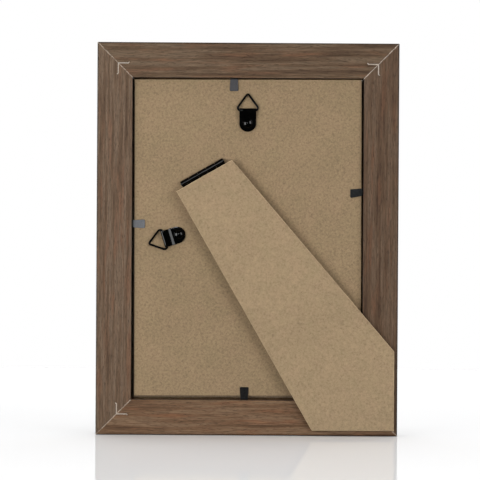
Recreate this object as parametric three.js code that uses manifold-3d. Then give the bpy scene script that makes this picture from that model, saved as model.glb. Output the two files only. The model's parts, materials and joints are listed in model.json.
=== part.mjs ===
// Wooden picture frame for one 13 x 18 cm print, standing upright, with its back fittings:
// backing board, four flexible tabs, two triangle hangers and a hinged two-way easel leg.
//
// Lengths are millimetres. The frame is drawn as a person behind it sees it: x to the right,
// y up from the bottom edge, z out of the back, with z = 0 half way through the moulding.
// The exported group turns that drawing so that +Z is up and the picture faces -Y.
// "Left" and "right" in names are as seen from behind.

import * as THREE from "three";
import { mergeVertices } from "three/addons/utils/BufferGeometryUtils.js";
import Module from "manifold-3d";

const wasm = await Module();
wasm.setup();

// ---------------------------------------------------------------- driving dimensions

// Moulding
const FRAME_WIDTH = 169.4;
const FRAME_HEIGHT = 220.4;
const MOULDING_DEPTH = 15;
const BACK_FACE_WIDTH = 19.7; // outer edge to rabbet wall
const LIP_WIDTH = 5; // front lip over the edge of the glass
const LIP_THICKNESS = 7;
const BACK_ARRIS = 0.8; // radius of the outer back edge
const FRONT_ARRIS = 1.2; // radius of the outer front edge
const SIGHT_CHAMFER = 0.8; // bevel round the sight opening
const MITRE_GAP = 0.03; // glue line, on each side of a mitre

// Layers in the rabbet
const LAYER_GAP = 0.05;
const GLASS = { width: 129, height: 180, thickness: 2 };
const INSERT = { width: 127, height: 178, thickness: 0.25 };
const BOARD = { width: 127.3, height: 177.4, thickness: 3 };
const BOARD_SHIFT = 0.25; // the board sits a little to the right
const BOARD_RISE = 0.85; // is held a little high
const BOARD_TURN = 0.2; // and lies turned by this many degrees

// V-nails across the mitres
const V_NAIL = { inset: 11.7, leg: 5.6, lip: 0.9, thickness: 0.4, height: 7, sunk: 0.2 };
const NAIL_CLEARANCE = 0.1;

// Flexible tabs
const TAB = { length: 7.4, rootWidth: 4.1, tipWidth: 4.9, cornerRadius: 0.8, thickness: 0.5 };
const TAB_HEIGHT = 0.15; // between board and tab
const TAB_START = 0.2; // between rabbet wall and blade
const TANG_LENGTH = 6;
const TANG_CLEARANCE = 0.1;

// Triangle hangers
const STRAP = { width: 9.4, sheet: 0.5, rise: 0.05, loopReach: 7.2, loopRadius: 1.25, slopeStart: 4.9 };
const LOOP_BORE = 0.8; // radius of the fold that holds the ring
const RING = { wireRadius: 0.575, halfWidth: 5.575, cornerRadius: 1.5, tipRadius: 0.8, baseAngle: 54 };
const RING_END_GAP = 0.15; // half the gap between the wire's two ends, inside the fold
const RING_LEAN = 3.5; // degrees, so that the ring's tip rests by the board
const DOME_RIVET = { headRadius: 2.75, headHeight: 1.7, rim: 0.25, shankRadius: 1.2, tailRadius: 2.1 };

// A hollow rivet's tail. Heights are from its end, and the bore's radii are shares of the shank's.
const RIVET_TAIL = { rim: 0.35, flareEnd: 0.9, bore: 0.7, boreTop: 0.6, boreTopEdge: 1.6, boreEnd: 1.8 };

// Easel leg and its hinge
const HINGE_CENTRE = { x: -25.4, y: 147.4 };
const HINGE_TILT = 29.8; // degrees from level
const HINGE_LENGTH = 27.4;
const HINGE = { axisHeight: 1.8, barrelRadius: 1.75, sheet: 0.5, leafWidth: 12, knuckles: 5, gap: 0.15 };
const LEAF_CLEARANCE = 0.3; // between one leaf's sheet and the other leaf's knuckles
const TONGUE_OVERLAP = 0.5; // of a knuckle's tongue with its leaf's sheet
const PIN = { radius: 0.72, bore: 0.8, overhang: 0.2, bevel: 0.2 };
const LEG = { topWidth: 35.7, flare: 10.8, thickness: 3, bevel: 0.2, axisDistance: 1.9, lift: 2.7 };
const LEG_FOOT_MARGIN = 3.05; // leg's foot above the frame's bottom edge
const LEG_SIDE_MARGIN = 2; // leg's side foot inside the frame's right edge
const FLAT_RIVET = { headRadius: 2, headHeight: 0.55, bevel: 0.2, shankRadius: 1, tailRadius: 1.7 };
const TACK = { headRadius: 1.9, headHeight: 0.5, bevel: 0.15, shankRadius: 0.8, depth: 2.3 };
const FASTENER_CLEARANCE = 0.1;
const COUNTERSINK = { clearance: 0.3, depth: 1.1 };

// ---------------------------------------------------------------- levels worked out from them

const BACK = MOULDING_DEPTH / 2;
const FRONT = -BACK;
const RABBET_FLOOR = FRONT + LIP_THICKNESS;
const GLASS_FRONT = RABBET_FLOOR + LAYER_GAP;
const INSERT_FRONT = GLASS_FRONT + GLASS.thickness + LAYER_GAP;
const BOARD_FRONT = INSERT_FRONT + INSERT.thickness + LAYER_GAP;
const BOARD_BACK = BOARD_FRONT + BOARD.thickness;
const MIDDLE = FRAME_HEIGHT / 2;
const TAB_LEVEL = BOARD_BACK + TAB_HEIGHT + TAB.thickness / 2;

const radians = THREE.MathUtils.degToRad;

function turnedBy(vector, degrees) {
  return vector.clone().rotateAround(new THREE.Vector2(), radians(degrees));
}

// Each side of the frame, turned a quarter at a time from the bottom one. A tab's offset runs
// along its rail, and its skew is how far the tip leans along the rail.
const SIDES = [
  { name: "bottom", turn: 0, length: FRAME_WIDTH, reach: FRAME_HEIGHT / 2, tabOffset: -1.3, tabSkew: 0 },
  { name: "right", turn: 90, length: FRAME_HEIGHT, reach: FRAME_WIDTH / 2, tabOffset: 26.9, tabSkew: -0.9 },
  { name: "top", turn: 180, length: FRAME_WIDTH, reach: FRAME_HEIGHT / 2, tabOffset: 8, tabSkew: 0 },
  { name: "left", turn: 270, length: FRAME_HEIGHT, reach: FRAME_WIDTH / 2, tabOffset: -8.3, tabSkew: 0 },
];
const CORNERS = [
  { name: "bottom_left", turn: 0, x: -1, y: -1 },
  { name: "bottom_right", turn: 90, x: 1, y: -1 },
  { name: "top_right", turn: 180, x: 1, y: 1 },
  { name: "top_left", turn: 270, x: -1, y: 1 },
];
// A hanger's place is its rivet's. Its strap lies `slide` off centre on the rivet, towards the ring.
const HANGERS = [
  { name: "top", x: -0.2, y: 175.2, turn: 0, slide: 0 },
  { name: "side", x: -38.55, y: 112.6, turn: 107.5, slide: 1 },
];
const BASE_RIVETS = [
  { name: "left", x: -8, y: -9 },
  { name: "right", x: 8, y: -9 },
];
const LEG_TACKS = [
  { name: "left", x: -8, y: -5 },
  { name: "right", x: 8, y: -5 },
];

// ---------------------------------------------------------------- materials

function finish(color, roughness, metalness = 0) {
  return new THREE.MeshStandardMaterial({ color, roughness, metalness });
}

const WALNUT = finish(0x6a5443, 0.5);
const MDF = finish(0x96815f, 0.85);
const BLACK_STEEL = finish(0x101012, 0.3, 0.7);
const TAB_STEEL = finish(0x5c5d60, 0.4, 0.8);
const NAIL_STEEL = finish(0xa89a8c, 0.45, 0.7);
const PAPER = finish(0xd9d4c8, 0.8);
const CLEAR_GLASS = new THREE.MeshStandardMaterial({
  color: 0xdfe9e6,
  roughness: 0.05,
  transparent: true,
  opacity: 0.3,
});

// ---------------------------------------------------------------- solids

function toSolid(geometry) {
  const bare = geometry.clone();
  bare.deleteAttribute("normal");
  bare.deleteAttribute("uv");
  const merged = mergeVertices(bare);
  return new wasm.Manifold(
    new wasm.Mesh({
      numProp: 3,
      vertProperties: merged.attributes.position.array,
      triVerts: Uint32Array.from(merged.index.array),
    }),
  );
}

function toGeometry(solid) {
  const mesh = solid.getMesh();
  const geometry = new THREE.BufferGeometry();
  geometry.setAttribute("position", new THREE.BufferAttribute(mesh.vertProperties, 3));
  geometry.setIndex(new THREE.BufferAttribute(mesh.triVerts, 1));
  geometry.computeVertexNormals();
  return geometry;
}

function drilled(solid, cutters) {
  return cutters.reduce((rest, cutter) => rest.subtract(toSolid(cutter)), solid);
}

function cut(geometry, cutters) {
  return toGeometry(drilled(toSolid(geometry), cutters));
}

function join(geometries) {
  return geometries.map(toSolid).reduce((whole, solid) => whole.add(solid));
}

// A flat outline pushed out along z, from level `from` to level `to`.
function slab(shape, from, to, curveSegments = 8) {
  const geometry = new THREE.ExtrudeGeometry(shape, { depth: to - from, bevelEnabled: false, curveSegments });
  return geometry.translate(0, 0, from);
}

// A box between two corners.
function block(x0, x1, y0, y1, z0, z1) {
  const geometry = new THREE.BoxGeometry(x1 - x0, y1 - y0, z1 - z0);
  return geometry.translate((x0 + x1) / 2, (y0 + y1) / 2, (z0 + z1) / 2);
}

// A round bar along z, from level `from` to level `to`.
function post(radius, from, to, sides = 32) {
  const geometry = new THREE.CylinderGeometry(radius, radius, to - from, sides);
  return geometry.rotateX(Math.PI / 2).translate(0, 0, (from + to) / 2);
}

// A round bar along x, centred on (y, z).
function bar(radius, x0, x1, y, z, sides = 32) {
  const geometry = new THREE.CylinderGeometry(radius, radius, x1 - x0, sides);
  return geometry.rotateZ(Math.PI / 2).translate((x0 + x1) / 2, y, z);
}

// A body of revolution about z, from a profile of [radius, level] points that meets the axis at both ends.
function turned(profile, sides = 32) {
  const points = profile.map(([radius, level]) => new THREE.Vector2(radius, level));
  return new THREE.LatheGeometry(points, sides).rotateX(Math.PI / 2);
}

// The outline of a bent strip of even thickness, from its centre line.
function stripShape(centreLine, thickness) {
  const points = centreLine.map(([x, y]) => new THREE.Vector2(x, y));
  const normals = points.slice(1).map((point, i) => {
    const along = point.clone().sub(points[i]).normalize();
    return new THREE.Vector2(-along.y, along.x);
  });
  const edge = (side) =>
    points.map((point, i) => {
      const before = normals[Math.max(i - 1, 0)];
      const after = normals[Math.min(i, normals.length - 1)];
      const mitre = before.clone().add(after).normalize();
      return point.clone().addScaledVector(mitre, (side * thickness) / 2 / mitre.dot(before));
    });
  return new THREE.Shape([...edge(1), ...edge(-1).reverse()]);
}

// ---------------------------------------------------------------- scene helpers

function piece(name, geometry, material) {
  const mesh = new THREE.Mesh(geometry, material);
  mesh.name = name;
  return mesh;
}

function placed(children, x, y, z, turn = 0) {
  const group = new THREE.Group();
  group.add(...children);
  group.position.set(x, y, z);
  group.rotation.z = radians(turn);
  return group;
}

// ---------------------------------------------------------------- moulding

// One rail with its outer edge on y = 0 and both ends mitred. The profile is drawn across the
// rail, then each end slides in by the distance from the outer edge.
function railBlank(length) {
  const inner = BACK_FACE_WIDTH + LIP_WIDTH;
  const profile = new THREE.Shape();
  profile.moveTo(FRONT_ARRIS, FRONT);
  profile.lineTo(inner - SIGHT_CHAMFER, FRONT);
  profile.lineTo(inner, FRONT + SIGHT_CHAMFER);
  profile.lineTo(inner, RABBET_FLOOR);
  profile.lineTo(BACK_FACE_WIDTH, RABBET_FLOOR);
  profile.lineTo(BACK_FACE_WIDTH, BACK);
  profile.absarc(BACK_ARRIS, BACK - BACK_ARRIS, BACK_ARRIS, Math.PI / 2, Math.PI);
  profile.absarc(FRONT_ARRIS, FRONT + FRONT_ARRIS, FRONT_ARRIS, Math.PI, Math.PI * 1.5);
  const geometry = new THREE.ExtrudeGeometry(profile, { depth: 1, bevelEnabled: false, curveSegments: 5 });
  const position = geometry.attributes.position;
  for (let i = 0; i < position.count; i += 1) {
    const inward = position.getX(i);
    const level = position.getY(i);
    const end = position.getZ(i) * 2 - 1;
    position.setXYZ(i, end * (length / 2 - MITRE_GAP - inward), inward, level);
  }
  return geometry;
}

// A V-nail seen from behind: its point at the origin, one leg along +x, the other along +y,
// each ending in a small lip turned to the outside.
function vNailShape(thickness) {
  const { leg, lip } = V_NAIL;
  const slant = lip * Math.SQRT1_2;
  return stripShape([[leg + slant, -slant], [leg, 0], [0, 0], [0, leg], [-slant, leg + slant]], thickness);
}

// V-nail pockets at both ends of a rail, and the slot for its tab's tang.
function railCutters(side) {
  const pocketShape = vNailShape(V_NAIL.thickness + 2 * NAIL_CLEARANCE);
  const pocket = slab(pocketShape, BACK - V_NAIL.sunk - V_NAIL.height - NAIL_CLEARANCE, BACK + 1);
  const along = side.length / 2 - V_NAIL.inset;
  const halfSlot = TAB.rootWidth / 2 + TANG_CLEARANCE;
  const halfSheet = TAB.thickness / 2 + TANG_CLEARANCE;
  return [
    pocket.clone().translate(-along, V_NAIL.inset, 0),
    pocket.clone().rotateZ(Math.PI / 2).translate(along, V_NAIL.inset, 0),
    block(
      side.tabOffset - halfSlot,
      side.tabOffset + halfSlot,
      BACK_FACE_WIDTH - TANG_LENGTH - TANG_CLEARANCE,
      BACK_FACE_WIDTH + 1,
      TAB_LEVEL - halfSheet,
      TAB_LEVEL + halfSheet,
    ),
  ];
}

function rail(side) {
  const geometry = cut(railBlank(side.length), railCutters(side));
  const mesh = piece(`rail_${side.name}`, geometry, WALNUT);
  mesh.position.y = -side.reach;
  return placed([mesh], 0, MIDDLE, 0, side.turn);
}

function vNail(corner) {
  const top = BACK - V_NAIL.sunk;
  const geometry = slab(vNailShape(V_NAIL.thickness), top - V_NAIL.height, top);
  const mesh = piece(`v_nail_${corner.name}`, geometry, NAIL_STEEL);
  const x = corner.x * (FRAME_WIDTH / 2 - V_NAIL.inset);
  const y = MIDDLE + corner.y * (FRAME_HEIGHT / 2 - V_NAIL.inset);
  return placed([mesh], x, y, 0, corner.turn);
}

// ---------------------------------------------------------------- flexible tabs

// The blade that lies over the board, from just off the rabbet wall to its round-cornered tip.
function tabBladeShape(skew) {
  const half = TAB.rootWidth / 2;
  const tipHalf = TAB.tipWidth / 2;
  const end = TAB.length;
  const round = TAB.cornerRadius;
  const shape = new THREE.Shape();
  shape.moveTo(-half, TAB_START);
  shape.lineTo(half, TAB_START);
  shape.lineTo(skew + tipHalf, end - round);
  shape.quadraticCurveTo(skew + tipHalf, end, skew + tipHalf - round, end);
  shape.lineTo(skew - tipHalf + round, end);
  shape.quadraticCurveTo(skew - tipHalf, end, skew - tipHalf, end - round);
  return shape;
}

// The tang pressed into the rail, with a pointed end.
function tabTangShape() {
  const half = TAB.rootWidth / 2;
  const shape = new THREE.Shape();
  shape.moveTo(-half, 0);
  shape.lineTo(-half, half - TANG_LENGTH);
  shape.lineTo(0, -TANG_LENGTH);
  shape.lineTo(half, half - TANG_LENGTH);
  shape.lineTo(half, 0);
  return shape;
}

function flexTab(side) {
  const low = -TAB.thickness / 2;
  const high = TAB.thickness / 2;
  const blade = piece(`tab_blade_${side.name}`, slab(tabBladeShape(side.tabSkew), low, high, 6), TAB_STEEL);
  const tang = piece(`tab_tang_${side.name}`, slab(tabTangShape(), low, high), TAB_STEEL);
  const onRail = placed([blade, tang], side.tabOffset, BACK_FACE_WIDTH - side.reach, TAB_LEVEL);
  return placed([onRail], 0, MIDDLE, 0, side.turn);
}

// ---------------------------------------------------------------- layers in the rabbet

function sheet(name, size, front, material, shiftX, shiftY) {
  const mesh = piece(name, new THREE.BoxGeometry(size.width, size.height, size.thickness), material);
  mesh.position.set(shiftX, MIDDLE + shiftY, front + size.thickness / 2);
  return mesh;
}

// The room a rivet needs in the board: a straight hole, and a countersink for its tail in front.
function rivetRoom(rivet, x, y) {
  const tailRoom = rivet.tailRadius + COUNTERSINK.clearance;
  return [
    post(rivet.shankRadius + FASTENER_CLEARANCE, BOARD_FRONT - 1, BOARD_BACK + 1, 24).translate(x, y, 0),
    post(tailRoom, BOARD_FRONT - 1, BOARD_FRONT + COUNTERSINK.depth, 24).translate(x, y, 0),
  ];
}

function backingBoard() {
  const { width, height } = BOARD;
  const blank = block(-width / 2, width / 2, -height / 2, height / 2, BOARD_FRONT, BOARD_BACK);
  blank.rotateZ(radians(BOARD_TURN)).translate(BOARD_SHIFT, MIDDLE + BOARD_RISE, 0);
  const hingeHoles = BASE_RIVETS.flatMap(({ x, y }) => {
    const spot = turnedBy(new THREE.Vector2(x, y), HINGE_TILT);
    return rivetRoom(FLAT_RIVET, HINGE_CENTRE.x + spot.x, HINGE_CENTRE.y + spot.y);
  });
  const hangerHoles = HANGERS.flatMap((hanger) => rivetRoom(DOME_RIVET, hanger.x, hanger.y));
  return piece("backing_board", cut(blank, [...hingeHoles, ...hangerHoles]), MDF);
}

// ---------------------------------------------------------------- rivets

// A hollow-tailed rivet through the board. `seat` is the level of the underside of its head above
// the board's back, and `head` is the head's own profile from its rim in to the axis.
function boardRivet(name, rivet, seat, head) {
  const tail = LAYER_GAP - BOARD.thickness;
  const profile = [
    [0, tail + RIVET_TAIL.boreEnd],
    [rivet.shankRadius * RIVET_TAIL.boreTop, tail + RIVET_TAIL.boreTopEdge],
    [rivet.shankRadius * RIVET_TAIL.bore, tail],
    [rivet.tailRadius, tail],
    [rivet.tailRadius, tail + RIVET_TAIL.rim],
    [rivet.shankRadius, tail + RIVET_TAIL.flareEnd],
    [rivet.shankRadius, seat],
    [rivet.headRadius, seat],
    ...head,
  ];
  return piece(name, turned(profile), BLACK_STEEL);
}

// A domed head: a quarter of an ellipse from the rim to the crown.
function domeHead(rivet, seat) {
  const steps = 8;
  return Array.from({ length: steps + 1 }, (_, i) => {
    const angle = (i / steps) * (Math.PI / 2);
    const rise = rivet.rim + (rivet.headHeight - rivet.rim) * Math.sin(angle);
    return [i === steps ? 0 : rivet.headRadius * Math.cos(angle), seat + rise];
  });
}

// A flat head with a small bevel round its rim.
function flatHead(rivet, seat) {
  const top = seat + rivet.headHeight;
  return [
    [rivet.headRadius, top - rivet.bevel],
    [rivet.headRadius - rivet.bevel, top],
    [0, top],
  ];
}

// ---------------------------------------------------------------- triangle hangers

// Side view of the doubled strap: two flat layers that open into a round fold for the ring.
function strapSideShape() {
  const base = STRAP.rise;
  const plateTop = base + 2 * STRAP.sheet;
  const loopLevel = base + STRAP.loopRadius;
  const run = STRAP.loopReach - STRAP.slopeStart;
  const rise = loopLevel - plateTop;
  const slope = Math.atan2(rise, run) + Math.asin(STRAP.loopRadius / Math.hypot(run, rise));
  const shape = new THREE.Shape();
  shape.moveTo(-STRAP.width, base);
  shape.absarc(STRAP.loopReach, loopLevel, STRAP.loopRadius, -Math.PI / 2, slope + Math.PI / 2);
  shape.lineTo(STRAP.slopeStart, plateTop);
  shape.lineTo(-STRAP.width, plateTop);
  const bore = new THREE.Path();
  bore.absarc(STRAP.loopReach, loopLevel, LOOP_BORE, 0, Math.PI * 2);
  shape.holes.push(bore);
  return shape;
}

// Plan of the strap: round about the rivet, straight to the fold.
function strapPlanShape() {
  const half = STRAP.width / 2;
  const shape = new THREE.Shape();
  shape.absarc(0, 0, half, Math.PI, Math.PI * 2);
  shape.lineTo(half, 2 * STRAP.width);
  shape.lineTo(-half, 2 * STRAP.width);
  return shape;
}

// `slide` is how far the strap has moved along its length on its rivet, so its hole is off centre.
function strapGeometry(slide) {
  // drawn in the (length, height) plane and pushed out across the width, then stood on the board
  const across = slab(strapSideShape(), -STRAP.width, STRAP.width, 12);
  const upright = new THREE.Matrix4().makeBasis(
    new THREE.Vector3(0, 1, 0),
    new THREE.Vector3(0, 0, 1),
    new THREE.Vector3(1, 0, 0),
  );
  across.applyMatrix4(upright);
  const plan = slab(strapPlanShape(), -1, 2 * STRAP.loopRadius + 1, 16);
  const body = toSolid(across).intersect(toSolid(plan)).translate([0, slide, 0]);
  const hole = post(DOME_RIVET.shankRadius + FASTENER_CLEARANCE, -1, 3, 24);
  return toGeometry(body.subtract(toSolid(hole)));
}

// A plane path used as the centre line of a bent wire.
class WireLine extends THREE.Curve {
  constructor(path) {
    super();
    this.path = path;
  }

  getPoint(t, target = new THREE.Vector3()) {
    const point = this.path.getPointAt(t);
    return target.set(point.x, point.y, 0);
  }
}

// The triangle ring: its base bar lies on the x axis and its tip points along +y.
function ringGeometry() {
  const { wireRadius, halfWidth, cornerRadius, tipRadius, baseAngle } = RING;
  const lean = radians(90 - baseAngle);
  const cornerX = halfWidth - cornerRadius;
  const reach = Math.cos(lean) * cornerX + Math.sin(lean) * cornerRadius + cornerRadius - tipRadius;
  const path = new THREE.Path();
  path.moveTo(RING_END_GAP, 0);
  path.absarc(cornerX, cornerRadius, cornerRadius, -Math.PI / 2, lean);
  path.absarc(0, reach / Math.sin(lean), tipRadius, lean, Math.PI - lean);
  path.absarc(-cornerX, cornerRadius, cornerRadius, Math.PI - lean, Math.PI * 1.5);
  path.lineTo(-RING_END_GAP, 0);
  const section = new THREE.Shape();
  section.absarc(0, 0, wireRadius, 0, Math.PI * 2);
  return new THREE.ExtrudeGeometry(section, { steps: 64, curveSegments: 5, extrudePath: new WireLine(path) });
}

function hanger({ name, x, y, turn, slide }) {
  const seat = STRAP.rise + 2 * STRAP.sheet + LAYER_GAP;
  const strap = piece(`hanger_strap_${name}`, strapGeometry(slide), BLACK_STEEL);
  const rivet = boardRivet(`hanger_rivet_${name}`, DOME_RIVET, seat, domeHead(DOME_RIVET, seat));
  const ring = piece(`hanger_ring_${name}`, ringGeometry(), BLACK_STEEL);
  ring.position.set(0, STRAP.loopReach + slide, STRAP.rise + STRAP.loopRadius);
  ring.rotation.x = -radians(RING_LEAN);
  return placed([strap, rivet, ring], x, y, BOARD_BACK, turn);
}

// ---------------------------------------------------------------- hinge and easel leg

// Both leaves are drawn with the hinge axis along x and the leg hanging towards -y. `owns` picks
// the knuckles that belong to the leaf, and `low` and `high` are its sheet's levels.
function hingeLeaf(owns, low, high, holes, holeRadius) {
  const half = HINGE_LENGTH / 2;
  const pitch = HINGE_LENGTH / HINGE.knuckles;
  const clear = -HINGE.barrelRadius - LEAF_CLEARANCE;
  const parts = [block(-half, half, -HINGE.leafWidth, clear, low, high)];
  for (let i = 0; i < HINGE.knuckles; i += 1) {
    if (owns(i)) {
      const x0 = -half + i * pitch + HINGE.gap / 2;
      const x1 = x0 + pitch - HINGE.gap;
      parts.push(block(x0, x1, clear - TONGUE_OVERLAP, 0, low, high));
      parts.push(bar(HINGE.barrelRadius, x0, x1, 0, HINGE.axisHeight));
    }
  }
  const bore = bar(PIN.bore, -half - 1, half + 1, 0, HINGE.axisHeight, 24);
  const drills = holes.map(({ x, y }) => post(holeRadius, low - 1, high + 1, 24).translate(x, y, 0));
  return toGeometry(drilled(join(parts), [bore, ...drills]));
}

function hingePin() {
  const { radius, bevel, overhang } = PIN;
  const half = HINGE_LENGTH / 2 + overhang;
  const profile = [
    [0, -half],
    [radius - bevel, -half],
    [radius, bevel - half],
    [radius, half - bevel],
    [radius - bevel, half],
    [0, half],
  ];
  const geometry = turned(profile, 24).rotateY(Math.PI / 2).translate(0, 0, HINGE.axisHeight);
  return piece("hinge_pin", geometry, BLACK_STEEL);
}

// A tack that holds the leg leaf: head under the leaf, shank up into the leg.
function legTack({ name, x, y }) {
  const seat = LEG.lift - HINGE.sheet - LAYER_GAP * 2;
  const profile = [
    [0, seat - TACK.headHeight],
    [TACK.headRadius - TACK.bevel, seat - TACK.headHeight],
    [TACK.headRadius, seat - TACK.headHeight + TACK.bevel],
    [TACK.headRadius, seat],
    [TACK.shankRadius, seat],
    [TACK.shankRadius, LEG.lift + TACK.depth - TACK.shankRadius],
    [0, LEG.lift + TACK.depth],
  ];
  const mesh = piece(`leg_tack_${name}`, turned(profile, 24), BLACK_STEEL);
  mesh.position.set(x, y, 0);
  return mesh;
}

// The leg's outline about the hinge centre, with the frame's own directions. One side is square
// to the hinge, the other flares, and two short feet lie along the frame's bottom and right edges.
function legShape() {
  const along = turnedBy(new THREE.Vector2(1, 0), HINGE_TILT);
  const down = turnedBy(new THREE.Vector2(0, -1), HINGE_TILT);
  const flared = turnedBy(down, LEG.flare);
  const bottom = LEG_FOOT_MARGIN - HINGE_CENTRE.y;
  const right = FRAME_WIDTH / 2 - LEG_SIDE_MARGIN - HINGE_CENTRE.x;
  const top = down.clone().multiplyScalar(LEG.axisDistance);
  const topLeft = top.clone().addScaledVector(along, -LEG.topWidth / 2);
  const topRight = top.clone().addScaledVector(along, LEG.topWidth / 2);
  const footLeft = topLeft.clone().addScaledVector(down, (bottom - topLeft.y) / down.y);
  const sideFoot = topRight.clone().addScaledVector(flared, (right - topRight.x) / flared.x);
  return new THREE.Shape([topLeft, footLeft, new THREE.Vector2(right, bottom), sideFoot, topRight]);
}

function easelLeg() {
  const { thickness, bevel, lift } = LEG;
  const blank = new THREE.ExtrudeGeometry(legShape(), {
    depth: thickness - 2 * bevel,
    bevelThickness: bevel,
    bevelSize: bevel,
    bevelOffset: -bevel,
    bevelSegments: 1,
  });
  blank.translate(0, 0, lift + bevel).rotateZ(-radians(HINGE_TILT));
  const holeRadius = TACK.shankRadius + FASTENER_CLEARANCE;
  const holeEnd = lift + TACK.depth + FASTENER_CLEARANCE;
  const holes = LEG_TACKS.map(({ x, y }) => post(holeRadius, lift - 1, holeEnd, 24).translate(x, y, 0));
  return piece("easel_leg", cut(blank, holes), MDF);
}

function easel() {
  const isLegKnuckle = (i) => i % 2 === 1;
  const isBaseKnuckle = (i) => i % 2 === 0;
  const baseLow = HINGE.axisHeight - HINGE.barrelRadius;
  const legHigh = LEG.lift - LAYER_GAP;
  const baseHigh = baseLow + HINGE.sheet;
  const legLow = legHigh - HINGE.sheet;
  const rivetHole = FLAT_RIVET.shankRadius + FASTENER_CLEARANCE;
  const tackHole = TACK.shankRadius + FASTENER_CLEARANCE;
  const baseLeaf = hingeLeaf(isBaseKnuckle, baseLow, baseHigh, BASE_RIVETS, rivetHole);
  const legLeaf = hingeLeaf(isLegKnuckle, legLow, legHigh, LEG_TACKS, tackHole);
  const seat = baseHigh + LAYER_GAP;
  const rivets = BASE_RIVETS.map(({ name, x, y }) => {
    const rivet = boardRivet(`hinge_rivet_${name}`, FLAT_RIVET, seat, flatHead(FLAT_RIVET, seat));
    rivet.position.set(x, y, 0);
    return rivet;
  });
  const parts = [
    piece("hinge_base_leaf", baseLeaf, BLACK_STEEL),
    piece("hinge_leg_leaf", legLeaf, BLACK_STEEL),
    hingePin(),
    easelLeg(),
    ...rivets,
    ...LEG_TACKS.map(legTack),
  ];
  return placed(parts, HINGE_CENTRE.x, HINGE_CENTRE.y, BOARD_BACK, HINGE_TILT);
}

// ---------------------------------------------------------------- the whole frame

const seenFromBehind = new THREE.Group();
seenFromBehind.add(
  ...SIDES.map(rail),
  ...CORNERS.map(vNail),
  sheet("glass_pane", GLASS, GLASS_FRONT, CLEAR_GLASS, 0, 0),
  sheet("photo_insert", INSERT, INSERT_FRONT, PAPER, 0, 0),
  backingBoard(),
  ...SIDES.map(flexTab),
  ...HANGERS.map(hanger),
  easel(),
);

// x right, y up, z back becomes -X, +Z, +Y.
seenFromBehind.rotation.set(Math.PI / 2, 0, Math.PI, "ZYX");

const pictureFrame = new THREE.Group();
pictureFrame.add(seenFromBehind);

export default pictureFrame;
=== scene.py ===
"""Looks of a wooden picture frame, seen from behind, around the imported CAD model.

Lengths in this script are millimetres and go through MM, because Blender's scene is in metres.
The frame stands on z = 0 with its back towards +Y. "Left" and "right" are as seen from behind.
"""

import json
import math

import bmesh
import bpy
from mathutils import Matrix, Vector


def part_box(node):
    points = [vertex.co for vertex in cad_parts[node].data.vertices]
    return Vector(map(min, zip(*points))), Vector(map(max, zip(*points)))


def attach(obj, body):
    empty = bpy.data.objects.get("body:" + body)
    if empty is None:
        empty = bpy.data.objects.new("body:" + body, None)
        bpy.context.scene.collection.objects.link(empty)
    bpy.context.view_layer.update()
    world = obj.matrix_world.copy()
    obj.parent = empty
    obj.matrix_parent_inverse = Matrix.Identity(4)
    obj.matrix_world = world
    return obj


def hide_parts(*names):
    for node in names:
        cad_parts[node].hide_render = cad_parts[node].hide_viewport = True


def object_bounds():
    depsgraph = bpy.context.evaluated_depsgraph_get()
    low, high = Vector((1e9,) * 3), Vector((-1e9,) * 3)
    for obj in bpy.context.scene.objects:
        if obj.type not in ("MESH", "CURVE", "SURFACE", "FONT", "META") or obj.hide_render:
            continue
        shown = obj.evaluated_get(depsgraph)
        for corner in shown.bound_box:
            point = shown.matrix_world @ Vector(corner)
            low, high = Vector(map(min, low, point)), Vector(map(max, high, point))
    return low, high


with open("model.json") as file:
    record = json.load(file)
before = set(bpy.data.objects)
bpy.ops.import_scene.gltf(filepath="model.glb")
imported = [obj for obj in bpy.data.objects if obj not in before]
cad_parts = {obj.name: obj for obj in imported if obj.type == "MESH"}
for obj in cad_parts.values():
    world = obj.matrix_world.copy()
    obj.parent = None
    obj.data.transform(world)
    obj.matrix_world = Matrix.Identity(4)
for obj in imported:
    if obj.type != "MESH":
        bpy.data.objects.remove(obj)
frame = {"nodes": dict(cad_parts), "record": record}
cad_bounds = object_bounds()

MM = 0.001

# ---------------------------------------------------------------- sizes from the CAD frame

frame_low, frame_high = (Vector(corner) / MM for corner in cad_bounds)
HALF_WIDTH = (frame_high.x - frame_low.x) / 2
HEIGHT = frame_high.z - frame_low.z
MIDDLE = HEIGHT / 2
BACK_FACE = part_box("rail_top")[1][1] / MM
INSERT_LOW, INSERT_HIGH = (Vector(corner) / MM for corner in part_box("photo_insert"))
JOINTS = {joint["name"]: joint for joint in frame["record"]["behaviour"]["joints"]}

# ---------------------------------------------------------------- detail sizes

SHARP = 30  # degrees an edge turns before it counts as sharp
BACK_FACE_WIDTH = 19.7  # of the moulding, from its outer face to the rabbet wall
V_NAIL_INSET = 11.7  # point of a V-nail from the frame's outer faces
V_NAIL_LEG = 5.6
SHEET = 0.5  # thickness of the hangers' steel strip
STRAP_HALF_WIDTH = 4.7
STRAP_LIFT = 0.05  # strap above the board
LOOP_REACH = 7.2  # ring's bar from the middle of the strap's round end
LOOP_RADIUS = 1.25
RAMP_GAP = 0.35  # from the rivet's head to where the upper layer lifts off the lower one
RAMP_LENGTH = 1.8
RAMP_SLOPE = math.tan(math.radians(22.5))
WIRE_RADIUS = 0.575
RING_HALF_WIDTH = 5.575
RING_CORNER = 1.5
RING_TIP = 0.8
RING_BASE_ANGLE = math.radians(54)
RING_END_GAP = 0.15
RING_LEAN = math.radians(3.5)
DOME_RADIUS = 2.75
DOME_HEIGHT = 1.7
RIVET_SHANK = 1.2

# ---------------------------------------------------------------- light

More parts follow.
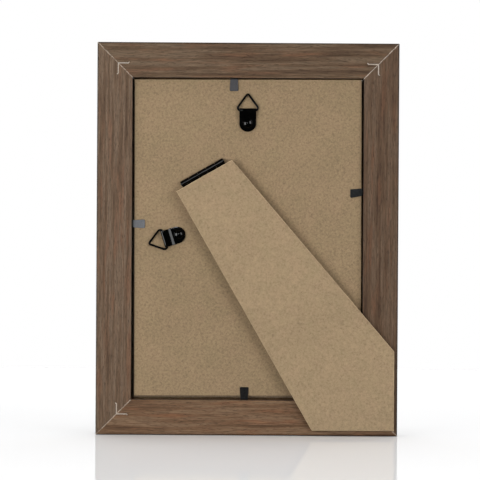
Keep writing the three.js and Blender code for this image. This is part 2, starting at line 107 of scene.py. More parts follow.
WORLD_FILL = 0.07
LEFT_LIGHT = 15.0  # watts
RIGHT_LIGHT = 7.6
LOW_LIGHT = 0.5
FRONT_LIGHT = 7.0
LEFT_WINDOW = 24.0
RIGHT_WINDOW = 16.0
STRIP_LIGHT = 2.4
OVERHEAD_LIGHT = 1.97  # watts per square metre

# ---------------------------------------------------------------- shader helper


class Shader:
    """A node material with one Principled surface. Every input takes a socket, a number, a colour or a
    vector, and lengths are millimetres of the object's own space."""

    def __init__(self, name, **sockets):
        self.material = bpy.data.materials.new(name)
        self.material.use_nodes = True
        self.tree = self.material.node_tree
        self.surface = self.tree.nodes["Principled BSDF"]
        coordinates = self.tree.nodes.new("ShaderNodeTexCoord")
        self.facing = coordinates.outputs["Normal"]
        self.place = self.scaled(coordinates.outputs["Object"], (1 / MM,) * 3)
        for socket, value in sockets.items():
            self.set(socket.replace("_", " ").title().replace("Ior", "IOR"), value)

    def add(self, kind, inputs, **settings):
        node = self.tree.nodes.new(kind)
        for setting, value in settings.items():
            setattr(node, setting, value)
        for socket, value in inputs.items():
            self.feed(node.inputs[socket], value)
        return node

    def feed(self, socket, value):
        if isinstance(value, bpy.types.NodeSocket):
            self.tree.links.new(value, socket)
        elif socket.type == "RGBA":
            socket.default_value = (*value[:3], 1)
        else:
            socket.default_value = value

    def set(self, socket, value):
        self.feed(self.surface.inputs[socket], value)

    def scaled(self, vector, factors):
        return self.add("ShaderNodeVectorMath", {0: vector, 1: factors}, operation="MULTIPLY").outputs[0]

    def moved(self, vector, shift):
        return self.add("ShaderNodeVectorMath", {0: vector, 1: shift}, operation="ADD").outputs[0]

    def split(self, vector):
        return tuple(self.add("ShaderNodeSeparateXYZ", {0: vector}).outputs)

    def join(self, x, y, z):
        return self.add("ShaderNodeCombineXYZ", {0: x, 1: y, 2: z}).outputs[0]

    def math(self, operation, a, b=0.0):
        return self.add("ShaderNodeMath", {0: a, 1: b}, operation=operation).outputs[0]

    def lowest(self, first, *others):
        for other in others:
            first = self.math("MINIMUM", first, other)
        return first

    def highest(self, first, *others):
        for other in others:
            first = self.math("MAXIMUM", first, other)
        return first

    def product(self, first, *others):
        for other in others:
            first = self.math("MULTIPLY", first, other)
        return first

    def step(self, value, start, end, low=0.0, high=1.0):
        """Goes smoothly from low at start to high at end."""
        inputs = {"Value": value, "From Min": start, "From Max": end, "To Min": low, "To Max": high}
        return self.add("ShaderNodeMapRange", inputs, interpolation_type="SMOOTHSTEP").outputs[0]

    def noise(self, vector, size, detail=2.0, roughness=0.5, distortion=0.0):
        """Noise from 0 to 1 whose blobs are about size millimetres across; size may be three sizes."""
        sizes = size if isinstance(size, tuple) else (size,) * 3
        spread = self.scaled(vector, tuple(1 / each for each in sizes))
        inputs = {
            "Vector": spread,
            "Scale": 1.0,
            "Detail": detail,
            "Roughness": roughness,
            "Distortion": distortion,
        }
        return self.add("ShaderNodeTexNoise", inputs).outputs["Fac"]

    def ramp(self, factor, stops):
        node = self.add("ShaderNodeValToRGB", {"Fac": factor})
        elements = node.color_ramp.elements
        while len(elements) < len(stops):
            elements.new(0.5)
        for element, (position, colour) in zip(elements, stops):
            element.position = position
            element.color = (*colour, 1)
        return node.outputs["Color"]

    def mix(self, factor, a, b, blend="MIX"):
        node = self.add("ShaderNodeMix", {}, data_type="RGBA", blend_type=blend, clamp_factor=True)
        self.feed(node.inputs[0], factor)
        self.feed(node.inputs[6], a)
        self.feed(node.inputs[7], b)
        return node.outputs[2]

    def bump(self, height, depth, strength=1.0):
        """Relief of up to depth millimetres."""
        inputs = {"Height": height, "Distance": depth * MM, "Strength": strength}
        self.set("Normal", self.add("ShaderNodeBump", inputs).outputs[0])


def times(colour, factor):
    return tuple(channel * factor for channel in colour)


# ---------------------------------------------------------------- materials

RAW_WOOD = (0.50, 0.40, 0.31)
WALNUT_DARK = (0.075, 0.043, 0.025)
WALNUT_BROWN = (0.140, 0.085, 0.050)
WALNUT_GREY = (0.176, 0.120, 0.078)
WALNUT_RED = (0.188, 0.094, 0.052)


def inward_distances(s):
    """How far a point is inside the frame's left or right face, and inside its top or bottom face."""
    x, _, z = s.split(s.place)
    inward_x = s.math("SUBTRACT", HALF_WIDTH, s.math("ABSOLUTE", x))
    inward_z = s.math("SUBTRACT", MIDDLE, s.math("ABSOLUTE", s.math("SUBTRACT", z, MIDDLE)))
    return inward_x, inward_z


def raw_wood(s):
    """Where pale raw wood shows on the back, 0 to 1: along the mitres and round the V-nails."""
    inward_x, inward_z = inward_distances(s)
    ragged = s.math("MULTIPLY", s.math("SUBTRACT", s.noise(s.place, 0.6, 3), 0.5), 0.7)
    across = s.math("MULTIPLY", s.math("ABSOLUTE", s.math("SUBTRACT", inward_x, inward_z)), math.sqrt(0.5))
    mitre = s.step(s.math("ADD", across, ragged), 0.16, 0.36, 1, 0)
    broken = s.step(s.noise(s.place, 1.5, 3), 0.36, 0.56, 0.3, 1)
    beside_x = s.math("SUBTRACT", inward_x, V_NAIL_INSET)
    beside_z = s.math("SUBTRACT", inward_z, V_NAIL_INSET)

    def off_leg(beside, along):
        before = s.math("MULTIPLY", along, -1)
        past = s.math("SUBTRACT", along, V_NAIL_LEG)
        return s.highest(s.math("ABSOLUTE", beside), before, past)

    off_nail = s.lowest(off_leg(beside_x, beside_z), off_leg(beside_z, beside_x))
    torn = s.step(s.math("ADD", off_nail, ragged), 0.26, 0.42, 1, 0)
    on_back = s.step(s.split(s.place)[1], BACK_FACE - 0.9, BACK_FACE - 0.3)
    return s.product(s.highest(s.product(mitre, broken), s.product(torn, 0.8)), on_back)


def walnut(name, grain_axis, seed, tint):
    """Dark walnut with straight grain along X or Z of the frame."""
    s = Shader(name, specular_ior_level=0.16)
    x, y, z = s.split(s.moved(s.place, (seed * 37.0, seed * 11.0, seed * 53.0)))
    along, across = (x, z) if grain_axis == "X" else (z, x)
    wander = s.math("SUBTRACT", s.noise(s.join(along, across, y), (60, 9, 9), 2), 0.5)
    across = s.math("ADD", across, s.math("MULTIPLY", wander, 1.8))
    grain = s.join(along, across, y)

    bands = s.noise(grain, (60, 2.4, 2.4), 4, 0.62)
    shades = [
        (0.30, WALNUT_DARK),
        (0.45, WALNUT_BROWN),
        (0.57, WALNUT_GREY),
        (0.72, times(WALNUT_BROWN, 1.2)),
    ]
    colour = s.ramp(bands, shades)
    red = s.step(s.noise(grain, (30, 3.2, 3.2), 2), 0.52, 0.72, 0, 0.7)
    colour = s.mix(red, colour, WALNUT_RED)
    streaks = s.noise(grain, (9, 0.5, 0.5), 3, 0.62)
    colour = s.mix(1, colour, s.ramp(streaks, [(0.3, (0.66,) * 3), (0.7, (1.32,) * 3)]), "MULTIPLY")
    pores = s.step(s.noise(grain, (3.2, 0.3, 0.3), 1), 0.58, 0.7)
    colour = s.mix(s.math("MULTIPLY", pores, 0.6), colour, times(WALNUT_DARK, 0.5))
    colour = s.mix(1, colour, tint, "MULTIPLY")

    # The darker band along the outer arris is painted shade of the rounded edge; its noise also places the
    # rubbed wear below.
    outer = s.lowest(*inward_distances(s))
    wear_and_shade_noise = s.noise(s.place, 3.5, 3)
    painted_edge_shade = s.step(s.math("ADD", outer, s.math("MULTIPLY", wear_and_shade_noise, 0.5)), 0.55, 1.3, 0.36, 1)
    colour = s.mix(1, colour, s.join(painted_edge_shade, painted_edge_shade, painted_edge_shade), "MULTIPLY")
    off_middle = s.math("ABSOLUTE", s.split(s.place)[1])
    arris = s.product(s.step(outer, 0.1, 0.7, 1, 0), s.step(off_middle, BACK_FACE - 0.9, BACK_FACE - 0.2))
    worn = s.product(s.step(wear_and_shade_noise, 0.6, 0.72), arris, 0.5)
    colour = s.mix(worn, colour, times(RAW_WOOD, 0.5))

    raw = raw_wood(s)
    raw_tone = s.ramp(s.noise(s.place, 0.8, 2), [(0.3, times(RAW_WOOD, 0.7)), (0.7, times(RAW_WOOD, 1.25))])
    s.set("Base Color", s.mix(raw, colour, raw_tone))
    satin = s.step(streaks, 0.25, 0.75, 0.55, 0.4)
    s.set("Roughness", s.math("MAXIMUM", satin, s.math("MULTIPLY", raw, 0.85)))
    relief = s.math("SUBTRACT", streaks, s.math("MULTIPLY", pores, 0.8))
    s.bump(s.math("SUBTRACT", relief, s.math("MULTIPLY", raw, 0.6)), 0.05, 0.7)
    return s.material


def fibreboard(name, face, seed, contrast):
    """Pressed fibreboard: speckled fibrous face, arrises with painted highlight and rubbed wear, coarser
    sawn edge.
    """
    s = Shader(name, specular_ior_level=0.15)
    place = s.moved(s.place, (seed * 29.0, seed * 17.0, seed * 41.0))
    x, y, z = s.split(place)
    flecks = s.noise(place, 1.3, 4, 0.72, 0.6)
    slant_a = s.math("ADD", x, s.math("MULTIPLY", z, 0.6))
    slant_b = s.math("SUBTRACT", z, s.math("MULTIPLY", x, 0.6))
    fibres_a = s.noise(s.join(slant_a, y, slant_b), (2.8, 0.6, 0.45), 2, 0.6, 0.8)
    fibres_b = s.noise(s.join(slant_b, y, slant_a), (2.4, 0.6, 0.4), 2, 0.6, 0.8)
    colour = s.ramp(flecks, [(0.28, times(face, 0.66)), (0.5, face), (0.74, times(face, 1.24))])
    colour = s.mix(s.step(fibres_a, 0.58, 0.76, 0, 0.55), colour, times(face, 0.55))
    colour = s.mix(s.step(fibres_b, 0.58, 0.76, 0, 0.5), colour, times(face, 1.4))
    colour = s.mix(contrast, face, colour)
    warmth = s.ramp(s.noise(place, 9, 3, 0.6), [(0.3, (0.97, 0.99, 0.95)), (0.7, (1.05, 1.03, 1.02))])
    colour = s.mix(1, colour, warmth, "MULTIPLY")
    stains = s.step(s.noise(place, 26, 3), 0.35, 0.65, 0.98, 1.03)
    colour = s.mix(1, colour, s.join(stains, stains, stains), "MULTIPLY")

    # Lighter arrises: a painted highlight where the edges catch the light, together with rubbed wear.
    outward = s.math("ABSOLUTE", s.split(s.facing)[1])
    arris = s.product(s.step(outward, 0.35, 0.55), s.step(outward, 0.85, 0.98, 1, 0))
    colour = s.mix(s.math("MULTIPLY", arris, 0.8), colour, times(face, 1.7))
    sawn = s.ramp(s.noise(place, (0.5, 0.16, 0.5), 3), [(0.3, times(face, 0.55)), (0.7, times(face, 1.05))])
    s.set("Base Color", s.mix(s.step(outward, 0.2, 0.5, 1, 0), colour, sawn))
    s.set("Roughness", s.step(flecks, 0.3, 0.7, 0.78, 0.92))
    relief = s.math("ADD", flecks, s.math("ADD", fibres_a, fibres_b))
    s.bump(relief, 0.04, 0.6)
    return s.material


def black_finish(name, ior):
    """Black finish on steel, a little uneven, with dust in patches. A higher ior makes it glossier."""
    s = Shader(name, ior=ior)
    dust = s.step(s.noise(s.place, 1.1, 4, 0.7), 0.52, 0.75)
    s.set("Base Color", s.mix(s.math("MULTIPLY", dust, 0.6), (0.001, 0.001, 0.001), (0.008, 0.007, 0.006)))
    s.set("Roughness", s.step(s.noise(s.place, 0.8, 3), 0.3, 0.7, 0.05, 0.12))
    s.bump(s.noise(s.place, 0.5, 2), 0.004, 0.5)
    return s.material


def tab_steel(name, tone):
    """Thin blued spring steel with fine rolling lines, painted shade on its edges and a painted shadow by
    the rabbet wall.
    """
    s = Shader(name, specular_ior_level=0.6)
    lines = s.noise(s.place, (0.2, 0.2, 1.8), 3)
    stain = s.noise(s.place, 1.5, 3)
    colour = s.ramp(stain, [(0.3, times(tone, 0.8)), (0.7, times(tone, 1.2))])
    colour = s.mix(0.4, colour, s.ramp(lines, [(0.3, times(tone, 0.6)), (0.7, times(tone, 1.4))]))
    outward = s.split(s.facing)[1]
    # Painted shade: the bevelled edges are darkened, and a painted shadow darkens the tab's root by the
    # rabbet wall.
    face = s.step(outward, 0.9, 0.995, 0.35, 1)
    off_wall = s.math("SUBTRACT", s.lowest(*inward_distances(s)), BACK_FACE_WIDTH)
    painted_shade_factor = s.product(face, s.step(off_wall, 0.5, 1.4, 0.12, 1))
    s.set("Base Color", s.mix(1, colour, s.join(painted_shade_factor, painted_shade_factor, painted_shade_factor), "MULTIPLY"))
    s.set("Metallic", s.step(stain, 0.35, 0.65, 0.25, 0.45))
    s.set("Roughness", s.step(lines, 0.3, 0.7, 0.3, 0.45))
    s.bump(lines, 0.01, 0.5)
    return s.material


def nail_steel():
    """The V-nails' steel, dusted with pale wood fibre where it was driven in."""
    s = Shader("nail_steel", metallic=0.1)
    dust = s.noise(s.place, 0.6, 3)
    s.set("Base Color", s.ramp(dust, [(0.3, (0.5, 0.42, 0.35)), (0.7, (0.82, 0.73, 0.63))]))
    s.set("Roughness", s.step(dust, 0.3, 0.7, 0.4, 0.8))
    s.bump(dust, 0.03, 0.6)
    return s.material


def glass():
    """Clear float glass: see-through with a fresnel gloss, and green in its thickness at the edges."""
    s = Shader("clear_glass")
    tree = s.tree
    outward = s.math("ABSOLUTE", s.split(s.facing)[1])
    tint = s.mix(s.step(outward, 0.3, 0.8), (0.35, 0.62, 0.52), (0.96, 0.985, 0.975))
    through = s.add("ShaderNodeBsdfTransparent", {"Color": tint})
    smear = s.step(s.noise(s.place, 22, 3), 0.45, 0.8, 0.005, 0.03)
    gloss = s.add("ShaderNodeBsdfGlossy", {"Roughness": smear})
    fresnel = s.add("ShaderNodeFresnel", {"IOR": 1.5})
    shares = {0: fresnel.outputs[0], 1: through.outputs[0], 2: gloss.outputs[0]}
    both = s.add("ShaderNodeMixShader", shares)
    tree.links.new(both.outputs[0], tree.nodes["Material Output"].inputs["Surface"])
    tree.nodes.remove(s.surface)
    return s.material


def printed_card():
    """A placeholder print: soft hills under a pale sky. The card's back and edges are plain brown."""
    s = Shader("printed_card", specular_ior_level=0.4)
    x, _, z = s.split(s.place)
    low, high = INSERT_LOW.z, INSERT_HIGH.z
    climb = s.step(z, low + (high - low) * 0.35, high)
    sky = [(0.0, (0.78, 0.70, 0.58)), (0.45, (0.62, 0.68, 0.68)), (1.0, (0.30, 0.43, 0.52))]
    picture = s.ramp(climb, sky)
    hills = [
        (0.52, 26, 70, (0.36, 0.45, 0.46)),
        (0.42, 20, 48, (0.20, 0.31, 0.30)),
        (0.30, 16, 34, (0.10, 0.19, 0.15)),
        (0.16, 10, 22, (0.045, 0.10, 0.065)),
    ]
    for order, (share, swing, width, tone) in enumerate(hills):
        profile = s.noise(s.join(x, order * 90.0, 0.0), width, 3)
        foot = low + (high - low) * share - swing / 2
        crest = s.math("ADD", s.math("MULTIPLY", profile, swing), foot)
        under = s.step(s.math("SUBTRACT", crest, z), -0.25, 0.25)
        leafy = s.ramp(s.noise(s.place, 2.5, 4), [(0.3, times(tone, 0.8)), (0.7, times(tone, 1.25))])
        picture = s.mix(under, picture, leafy)
    card = s.ramp(s.noise(s.place, 0.8, 3), [(0.3, (0.16, 0.11, 0.068)), (0.7, (0.25, 0.18, 0.115))])
    front = s.step(s.split(s.facing)[1], -0.9, -0.5, 1, 0)
    s.set("Base Color", s.mix(front, card, picture))
    s.set("Roughness", s.step(front, 0, 1, 0.9, 0.3))
    s.bump(s.noise(s.place, 0.4, 2), 0.01, 0.4)
    return s.material


# ---------------------------------------------------------------- mesh helpers


def mesh_object(name, bm):
    bmesh.ops.recalc_face_normals(bm, faces=bm.faces)
    mesh = bpy.data.meshes.new(name)
    bm.to_mesh(mesh)
    bm.free()
    mesh.shade_smooth()
    piece = bpy.data.objects.new(name, mesh)
    bpy.context.collection.objects.link(piece)
    return piece


def smooth_by_angle():
    """A modifier's node group that shades faces smooth and keeps sharp edges sharp."""
    group = bpy.data.node_groups.new("smooth_by_angle", "GeometryNodeTree")
    group.interface.new_socket("Geometry", in_out="INPUT", socket_type="NodeSocketGeometry")
    group.interface.new_socket("Geometry", in_out="OUTPUT", socket_type="NodeSocketGeometry")
    start = group.nodes.new("NodeGroupInput")
    end = group.nodes.new("NodeGroupOutput")
    faces = group.nodes.new("GeometryNodeSetShadeSmooth")
    faces.domain = "FACE"
    edges = group.nodes.new("GeometryNodeSetShadeSmooth")
    edges.domain = "EDGE"
    angle = group.nodes.new("GeometryNodeInputMeshEdgeAngle")
    gentle = group.nodes.new("FunctionNodeCompare")
    gentle.operation = "LESS_THAN"
    gentle.inputs["B"].default_value = math.radians(SHARP)
    group.links.new(angle.outputs["Unsigned Angle"], gentle.inputs["A"])
    group.links.new(gentle.outputs[0], edges.inputs["Shade Smooth"])
    group.links.new(start.outputs[0], faces.inputs["Geometry"])
    group.links.new(faces.outputs[0], edges.inputs["Geometry"])
    group.links.new(edges.outputs[0], end.inputs[0])
    return group


def soften(piece, width, segments):
    """Rounds a piece's sharp edges by width millimetres, and keeps its flats flat and its barrels
    round."""
    weld = piece.modifiers.new("weld", "WELD")
    weld.merge_threshold = 1e-6
    flats = piece.modifiers.new("flats", "DECIMATE")
    flats.decimate_type = "DISSOLVE"
    flats.angle_limit = math.radians(0.5)
    piece.modifiers.new("shading", "NODES").node_group = SMOOTHING
    bevel = piece.modifiers.new("bevel", "BEVEL")
    bevel.width = width * MM
    bevel.segments = segments
    bevel.limit_method = "ANGLE"
    bevel.angle_limit = math.radians(SHARP)
    normals = piece.modifiers.new("normals", "WEIGHTED_NORMAL")
    normals.keep_sharp = True


def dress(node, material, bevel=None, segments=2):
    """Gives a CAD node its material and, if asked, rounded edges."""
    piece = frame["nodes"][node]
    for slot in piece.material_slots:
        slot.material = material
    if bevel:
        soften(piece, bevel, segments)


def stand_for(piece, node, body, material):
    """The piece takes a CAD node's place."""
    piece.data.materials.append(material)
    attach(piece, body)
    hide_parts(node)


def local_frame(origin, right, up, out):
    """A matrix whose x, y and z are a fitting's right, up and outward directions, in millimetres."""
    axes = Matrix((right, up, out)).transposed() * MM
    return Matrix.Translation(origin) @ axes.to_4x4()


# ---------------------------------------------------------------- triangle hangers


def arc(centre, radius, start, end, steps):
    turn = (end - start) / steps
    return [
        (centre[0] + radius * math.cos(start + i * turn), centre[1] + radius * math.sin(start + i * turn))
        for i in range(steps + 1)
    ]


def smooth_curve(start, start_slope, end, end_slope, steps):
    """Points of a cubic curve between two points with the given slopes, both ends left out."""
    span = end[0] - start[0]
    points = []
    for i in range(1, steps):
        t = i / steps
        rise = t * t * (3 - 2 * t)
        leave = (t**3 - 2 * t**2 + t) * span * start_slope
        arrive = (t**3 - t**2) * span * end_slope
        points.append((start[0] + t * span, start[1] * (1 - rise) + end[1] * rise + leave + arrive))
    return points


def strap_line(rivet):
    """Side view of the folded strip's middle: along the board, tightly round the ring's bar, over a low
    arch and down a ramp to the rivet's head, and under it back to the round end."""
    half = SHEET / 2
    lower = STRAP_LIFT + half
    upper = lower + SHEET + 0.03
    bar = (LOOP_REACH, STRAP_LIFT + LOOP_RADIUS)
    foot = rivet + DOME_RADIUS + RAMP_GAP
    ramp_top = (foot + RAMP_LENGTH, upper + RAMP_LENGTH * RAMP_SLOPE)
    end = [-STRAP_HALF_WIDTH * math.cos(math.radians(5 + 85 * i / 14)) for i in range(15)]  # the round end
    outward = [(s, lower) for s in (*end, 2.0, 4.0, 6.0)]
    turn = arc(bar, LOOP_RADIUS - half, -math.pi / 2, math.pi / 2, 20)
    arch = smooth_curve(turn[-1], 0, ramp_top, RAMP_SLOPE, 12)
    ramp = smooth_curve(ramp_top, RAMP_SLOPE, (foot, upper), 0, 8)
    back = [(s, upper) for s in (foot, foot - 0.2, *reversed(end))]
    return [*outward, *turn, *arch, ramp_top, *ramp, *back]


def folded_strap(name, rivet, place):
    """The hanger's steel strip, folded over the ring and rounded about the rivet."""
    columns = 4
    bm = bmesh.new()
    rows = []
    for s, h in strap_line(rivet):
        inside = max(STRAP_HALF_WIDTH**2 - min(s, 0) ** 2, 0)
        half = math.sqrt(inside)
        row = [bm.verts.new((half * (2 * i / columns - 1), s, h)) for i in range(columns + 1)]
        rows.append(row)
    for near, far in zip(rows, rows[1:]):
        for i in range(columns):
            bm.faces.new((near[i], near[i + 1], far[i + 1], far[i]))
    piece = mesh_object(name, bm)
    piece.data.transform(place)
    thick = piece.modifiers.new("thickness", "SOLIDIFY")
    thick.thickness = SHEET * MM
    thick.offset = 0
    thick.use_even_offset = True
    bevel = piece.modifiers.new("bevel", "BEVEL")
    bevel.width = 0.1 * MM
    bevel.segments = 3
    bevel.limit_method = "ANGLE"
    bevel.angle_limit = math.radians(50)
    return piece


def ring_line():
    """The triangle ring's centre line in its own plane: bar on y = 0, tip along +y."""
    lean = math.pi / 2 - RING_BASE_ANGLE
    corner_x = RING_HALF_WIDTH - RING_CORNER
    side = math.cos(lean) * corner_x + math.sin(lean) * RING_CORNER + RING_CORNER - RING_TIP
    right = arc((corner_x, RING_CORNER), RING_CORNER, -math.pi / 2, lean, 16)
    tip = arc((0, side / math.sin(lean)), RING_TIP, lean, math.pi - lean, 12)
    left = [(-x, y) for x, y in reversed(right)]
    return [(RING_END_GAP, 0), *right, *tip, *left, (-RING_END_GAP, 0)]


def wire(name, line, radius, place):
    """A round wire along a plane line, with closed ends."""
    sides = 20
    bm = bmesh.new()
    points = [Vector((x, y, 0)) for x, y in line]
    loops = []
    for i, point in enumerate(points):
        ahead = points[min(i + 1, len(points) - 1)] - points[max(i - 1, 0)]
        beside = ahead.normalized().cross(Vector((0, 0, 1)))
        angles = [2 * math.pi * j / sides for j in range(sides)]
        around = [beside * math.cos(a) + Vector((0, 0, math.sin(a))) for a in angles]
        loops.append([bm.verts.new(point + direction * radius) for direction in around])
    for near, far in zip(loops, loops[1:]):
        for j in range(sides):
            bm.faces.new((near[j], near[(j + 1) % sides], far[(j + 1) % sides], far[j]))
    bm.faces.new(loops[0])
    bm.faces.new(loops[-1])
    piece = mesh_object(name, bm)
    piece.data.transform(place)
    return piece


def turned(name, profile, place):
    """A body of revolution about the local z axis, from (radius, height) points that start and end on
    the axis."""
    sides = 64
    bm = bmesh.new()
    rings = []
    for radius, height in profile:
        if radius == 0:
            rings.append([bm.verts.new((0, 0, height))])
        else:
            around = [(math.cos(t), math.sin(t)) for t in (2 * math.pi * i / sides for i in range(sides))]
            rings.append([bm.verts.new((radius * x, radius * y, height)) for x, y in around])
    for below, above in zip(rings, rings[1:]):
        for i in range(sides):
            pairs = ((below, i), (below, i + 1), (above, i + 1), (above, i))
            corners = dict.fromkeys(ring[j % len(ring)] for ring, j in pairs)
            bm.faces.new(tuple(corners))
    piece = mesh_object(name, bm)
    piece.data.transform(place)
    return piece


def dome_profile():
    """Half section of the rivet: tail in the board, shank, and a flat-bottomed head with a round dome."""
    seat = STRAP_LIFT + 2 * SHEET + 0.06
    top = seat + DOME_HEIGHT
    tail = -2.9
    radius = (DOME_RADIUS**2 + DOME_HEIGHT**2) / (2 * DOME_HEIGHT)
    reach = math.asin(DOME_RADIUS / radius) - math.radians(3)
    angles = [reach * (1 - i / 20) for i in range(20)]
    return [
        (0, tail),
        (2.0, tail),
        (2.1, tail + 0.3),
        (RIVET_SHANK, tail + 0.9),
        (RIVET_SHANK, seat),
        (DOME_RADIUS - 0.1, seat),
        (DOME_RADIUS, seat + 0.08),
        *((radius * math.sin(t), top - radius * (1 - math.cos(t))) for t in angles),
        (0, top),
    ]


def hanger(which, lacquer, wire_finish):
    """Strap, rivet and ring of one hanger, placed by its two joints."""
    swivel = JOINTS[f"{which}_strap_swivel"]
    flip = JOINTS[f"{which}_ring_flip"]
    out = Vector((0, 1, 0))
    rivet_point, bar_point = Vector(swivel["pos_m"]), Vector(flip["pos_m"])
    up = bar_point - rivet_point
    up = (up - out * up.dot(out)).normalized()
    right = up.cross(out)
    on_board = local_frame(rivet_point, right, up, out)
    slide = (bar_point - rivet_point).dot(up) / MM - LOOP_REACH
    strap_middle = rivet_point + up * slide * MM
    strap = folded_strap(f"folded_strap_{which}", -slide, local_frame(strap_middle, right, up, out))
    stand_for(strap, f"hanger_strap_{which}", f"{which}_strap", lacquer)
    rivet = turned(f"domed_rivet_{which}", dome_profile(), on_board)
    stand_for(rivet, f"hanger_rivet_{which}", "frame", lacquer)
    at_bar = local_frame(bar_point, right, up, out) @ Matrix.Rotation(-RING_LEAN, 4, "X")
    ring = wire(f"triangle_ring_{which}", ring_line(), WIRE_RADIUS, at_bar)
    stand_for(ring, f"hanger_ring_{which}", f"{which}_ring", wire_finish)


# ---------------------------------------------------------------- dressing the CAD nodes


def dress_moulding():
    rails = [
        ("top", "X", 1, (0.92, 0.92, 0.88)),
        ("bottom", "X", 2, (1.21, 1.10, 0.98)),
        ("left", "Z", 3, (1.0, 1.0, 1.0)),
        ("right", "Z", 4, (0.81, 0.77, 0.74)),
    ]
    for side, grain_axis, seed, tint in rails:
        dress(f"rail_{side}", walnut(f"walnut_{side}", grain_axis, seed, tint), 0.15)
    steel = nail_steel()
    for corner in ("bottom_left", "bottom_right", "top_left", "top_right"):
        dress(f"v_nail_{corner}", steel, 0.06, 1)


def dress_rabbet():
    dress("glass_pane", glass(), 0.3, 1)
    dress("photo_insert", printed_card())
    dress("backing_board", fibreboard("board_fibre", (0.318, 0.226, 0.134), 1, 1.0), 0.12)
    # Each tab's tone is painted reflection: the top and left tabs lighter as if they caught the lights, the
    # right and bottom ones nearly black.
    reflection_tones = {
        "top": (0.052, 0.051, 0.056),
        "left": (0.145, 0.150, 0.162),
        "right": (0.008, 0.009, 0.010),
        "bottom": (0.004, 0.004, 0.004),
    }
    for side, tone in reflection_tones.items():
        steel = tab_steel(f"tab_steel_{side}", tone)
        dress(f"tab_blade_{side}", steel, 0.08)
        dress(f"tab_tang_{side}", steel)


def dress_leg(lacquer):
    dress("easel_leg", fibreboard("leg_fibre", (0.375, 0.271, 0.164), 2, 0.9), 0.08)
    for node in ("hinge_base_leaf", "hinge_leg_leaf"):
        dress(node, lacquer, 0.07)
    for node in ("hinge_pin", "hinge_rivet_left", "hinge_rivet_right", "leg_tack_left", "leg_tack_right"):
        dress(node, lacquer, 0.05)


# ---------------------------------------------------------------- stage, light and camera


def plain_floor():
    """A pale glossy table top, which mirrors the frame faintly. It throws no light back at the frame, so
    that the easel leg's shadows stay deep and the lacquer stays black."""
    half = 0.8
    corners = [(-half, -half, 0), (half, -half, 0), (half, half, 0), (-half, half, 0)]
    mesh = bpy.data.meshes.new("floor")
    mesh.from_pydata(corners, [], [(0, 1, 2, 3)])
    floor = bpy.data.objects.new("floor", mesh)
    bpy.context.collection.objects.link(floor)
    floor.location.z = -0.02 * MM
    floor.visible_diffuse = False
    floor.visible_glossy = False
    material = bpy.data.materials.new("floor")
    material.use_nodes = True
    tree = material.node_tree
    tree.nodes.remove(tree.nodes["Principled BSDF"])
    diffuse = tree.nodes.new("ShaderNodeBsdfDiffuse")
    diffuse.inputs["Color"].default_value = (0.94, 0.94, 0.945, 1)
    gloss = tree.nodes.new("ShaderNodeBsdfGlossy")
    gloss.inputs["Color"].default_value = (1, 1, 1, 1)
    gloss.inputs["Roughness"].default_value = 0.04
    both = tree.nodes.new("ShaderNodeMixShader")
    both.inputs[0].default_value = 0.35
    tree.links.new(diffuse.outputs[0], both.inputs[1])
    tree.links.new(gloss.outputs[0], both.inputs[2])
    tree.links.new(both.outputs[0], tree.nodes["Material Output"].inputs["Surface"])
    mesh.materials.append(material)


def pale_world():
    """White to the camera, an even soft fill for matt surfaces, and to gloss a white wall in front of
    the frame with a dark room behind the camera, so that black lacquer stays black."""
    world = bpy.data.worlds.new("studio")
    bpy.context.scene.world = world
    world.use_nodes = True
    tree = world.node_tree
    background = tree.nodes["Background"]
    background.inputs["Color"].default_value = (1, 1, 1, 1)
    direction = tree.nodes.new("ShaderNodeTexCoord")
    split = tree.nodes.new("ShaderNodeSeparateXYZ")
    tree.links.new(direction.outputs["Generated"], split.inputs[0])
    room = tree.nodes.new("ShaderNodeMapRange")
    room.interpolation_type = "SMOOTHSTEP"
    for socket, value in (("From Min", -0.8), ("From Max", -0.3), ("To Min", 1.0), ("To Max", 0.02)):
        room.inputs[socket].default_value = value
    tree.links.new(split.outputs["Y"], room.inputs["Value"])
    path = tree.nodes.new("ShaderNodeLightPath")
    matt_or_gloss = tree.nodes.new("ShaderNodeMix")
    matt_or_gloss.inputs[2].default_value = WORLD_FILL
    tree.links.new(path.outputs["Is Glossy Ray"], matt_or_gloss.inputs[0])
    tree.links.new(room.outputs[0], matt_or_gloss.inputs[3])
    seen = tree.nodes.new("ShaderNodeMix")
    seen.inputs[3].default_value = 1.0
    tree.links.new(path.outputs["Is Camera Ray"], seen.inputs[0])
    tree.links.new(matt_or_gloss.outputs[0], seen.inputs[2])
    tree.links.new(seen.outputs[0], background.inputs["Strength"])


def lamp(name, kind, azimuth, elevation, distance, energy, lights):
    """A lamp aimed at the frame's middle; azimuth 0 is straight behind the frame, 90 is its right.
    It lights either matt surfaces or gloss."""
    a, e = math.radians(azimuth), math.radians(elevation)
    light = bpy.data.lights.new(name, kind)
    light.energy = energy
    holder = bpy.data.objects.new(name, light)
    bpy.context.collection.objects.link(holder)
    direction = Vector((-math.sin(a) * math.cos(e), math.cos(a) * math.cos(e), math.sin(e)))
    holder.location = Vector((0, 0, MIDDLE * MM)) + direction * distance
    holder.rotation_mode = "QUATERNION"
    holder.rotation_quaternion = direction.to_track_quat("Z", "Y")
    holder.visible_camera = False
    holder.visible_glossy = lights == "gloss"
    holder.visible_diffuse = lights == "matt"
    return light


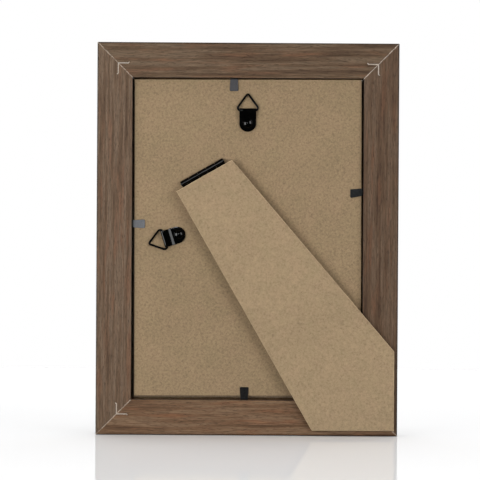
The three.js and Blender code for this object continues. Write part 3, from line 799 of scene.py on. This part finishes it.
def softbox(name, azimuth, elevation, distance, width, height, energy, lights):
    light = lamp(name, "AREA", azimuth, elevation, distance, energy, lights)
    light.shape = "RECTANGLE"
    light.size = width
    light.size_y = height


def studio_lights():
    softbox("key_left", -38, -4, 1.3, 0.9, 0.8, LEFT_LIGHT, "matt")
    softbox("key_right", 44, 5, 1.3, 0.7, 0.8, RIGHT_LIGHT, "matt")
    softbox("low_fill", 0, -5, 0.7, 0.7, 0.06, LOW_LIGHT, "matt")
    softbox("front_fill", 180, 50, 1.3, 1.4, 1.0, FRONT_LIGHT, "matt")
    lamp("overhead", "SUN", 0, 88, 1.5, OVERHEAD_LIGHT, "matt").angle = math.radians(50)
    softbox("window_left", -58, 1, 1.3, 0.78, 1.05, LEFT_WINDOW, "gloss")
    softbox("window_right", 58, 20, 1.3, 0.78, 1.05, RIGHT_WINDOW, "gloss")
    softbox("dim_strip", -10, 15, 1.3, 0.35, 0.1, STRIP_LIGHT, "gloss")


def photo_camera():
    """A long lens square to the frame's back, a hair above its middle."""
    distance = 2.0
    field = 0.2693  # width seen at the frame's back face
    elevation = math.radians(0.6)
    roll = math.radians(0.35)
    aim = Vector((4.15 * MM, BACK_FACE * MM, 109.75 * MM))
    direction = Vector((0, math.cos(elevation), math.sin(elevation)))
    data = bpy.data.cameras.new("camera")
    data.sensor_width = 36
    data.lens = data.sensor_width * distance / field
    data.clip_end = 20
    camera = bpy.data.objects.new("camera", data)
    bpy.context.collection.objects.link(camera)
    camera.location = aim + direction * distance
    camera.rotation_mode = "QUATERNION"
    level = direction.to_track_quat("Z", "Y")
    camera.rotation_quaternion = level @ Matrix.Rotation(roll, 3, "Z").to_quaternion()
    bpy.context.scene.camera = camera


# ---------------------------------------------------------------- the scene

SMOOTHING = smooth_by_angle()
bpy.context.scene.view_settings.view_transform = "Standard"
photo_camera()
plain_floor()
pale_world()
studio_lights()

lacquer = black_finish("black_lacquer", 1.3)
blackened = black_finish("blackened_wire", 1.16)
dress_moulding()
dress_rabbet()
dress_leg(lacquer)
hanger("top", lacquer, blackened)
hanger("side", lacquer, blackened)
